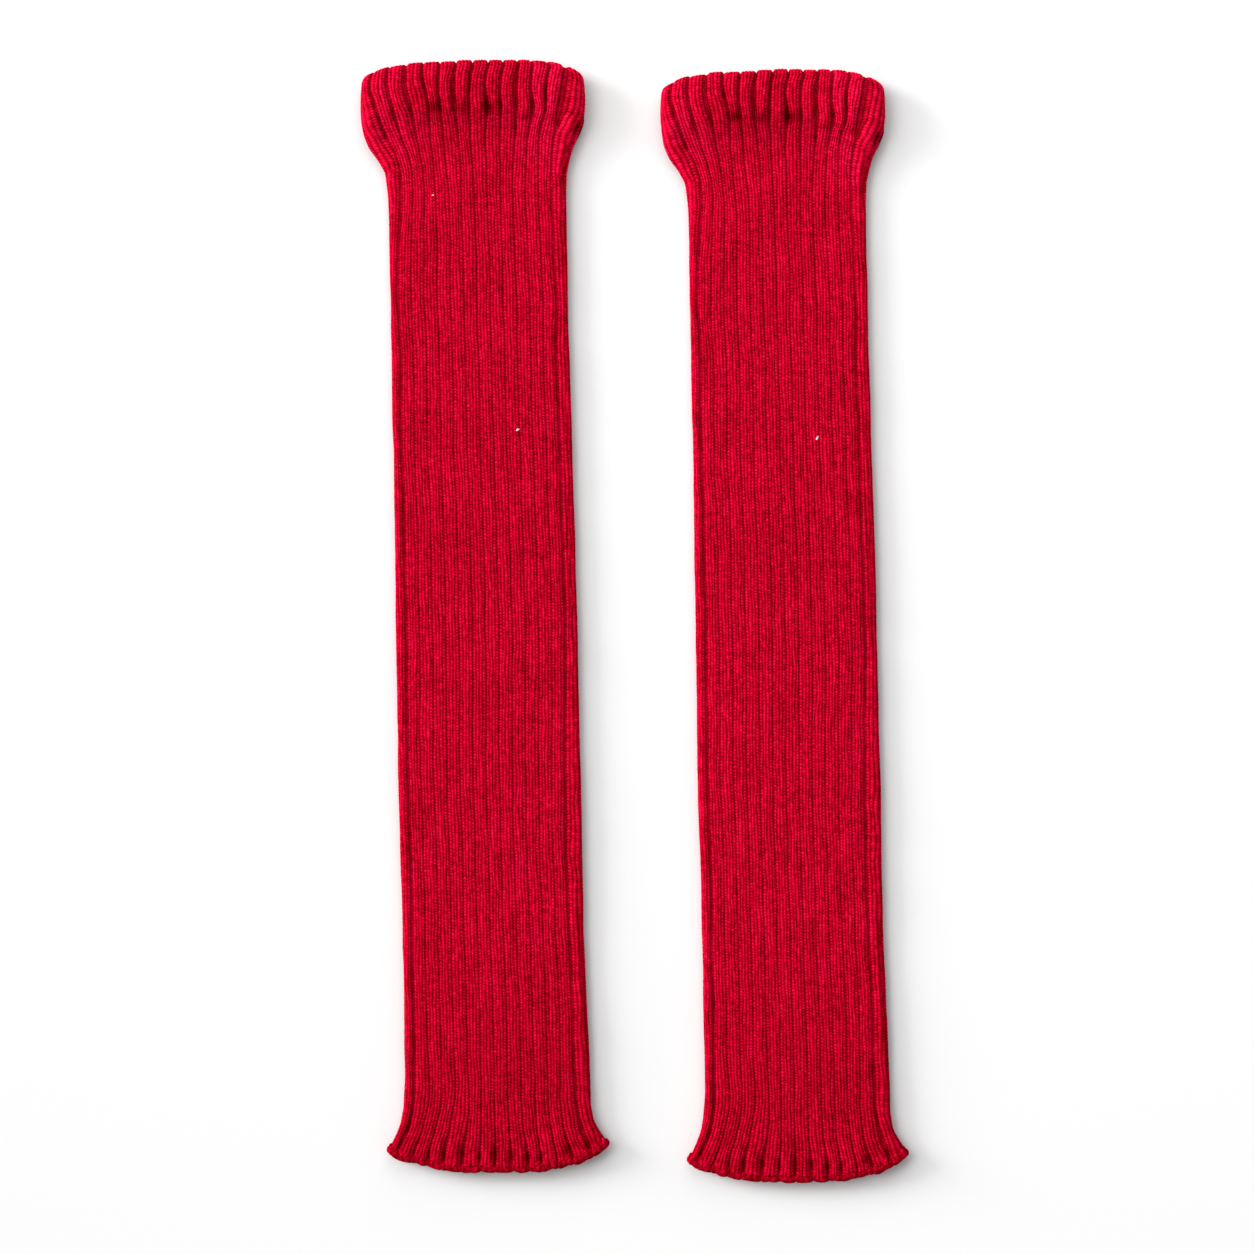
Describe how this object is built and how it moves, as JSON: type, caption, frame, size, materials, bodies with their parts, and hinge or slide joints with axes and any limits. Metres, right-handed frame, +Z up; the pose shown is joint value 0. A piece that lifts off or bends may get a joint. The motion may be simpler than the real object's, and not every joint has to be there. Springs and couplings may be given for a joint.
{
  "type": "pair of leg warmers",
  "caption": "Long rib-knit tubes with turned-in double cuffs and bound-off lower edges, laid flat side by side on a surface.",
  "frame": {"origin": "middle of the pair's outline from above, on the surface that it lies on", "axes": "+Z up, +Y along the tubes towards the cuffs, +X to the right seen from above with the cuffs at the top"},
  "size_m": [0.2968, 0.6062, 0.0138],
  "materials": {
    "rib_knit": "matte crimson wool and acrylic rib knit with a soft nap",
    "bound_edge": "matte crimson cord of cast-off yarn loops"
  },
  "bodies": {
    "root": {"left_tube": "rib_knit", "left_bound_edge": "bound_edge", "right_tube": "rib_knit", "right_bound_edge": "bound_edge"}
  },
  "joints": []
}
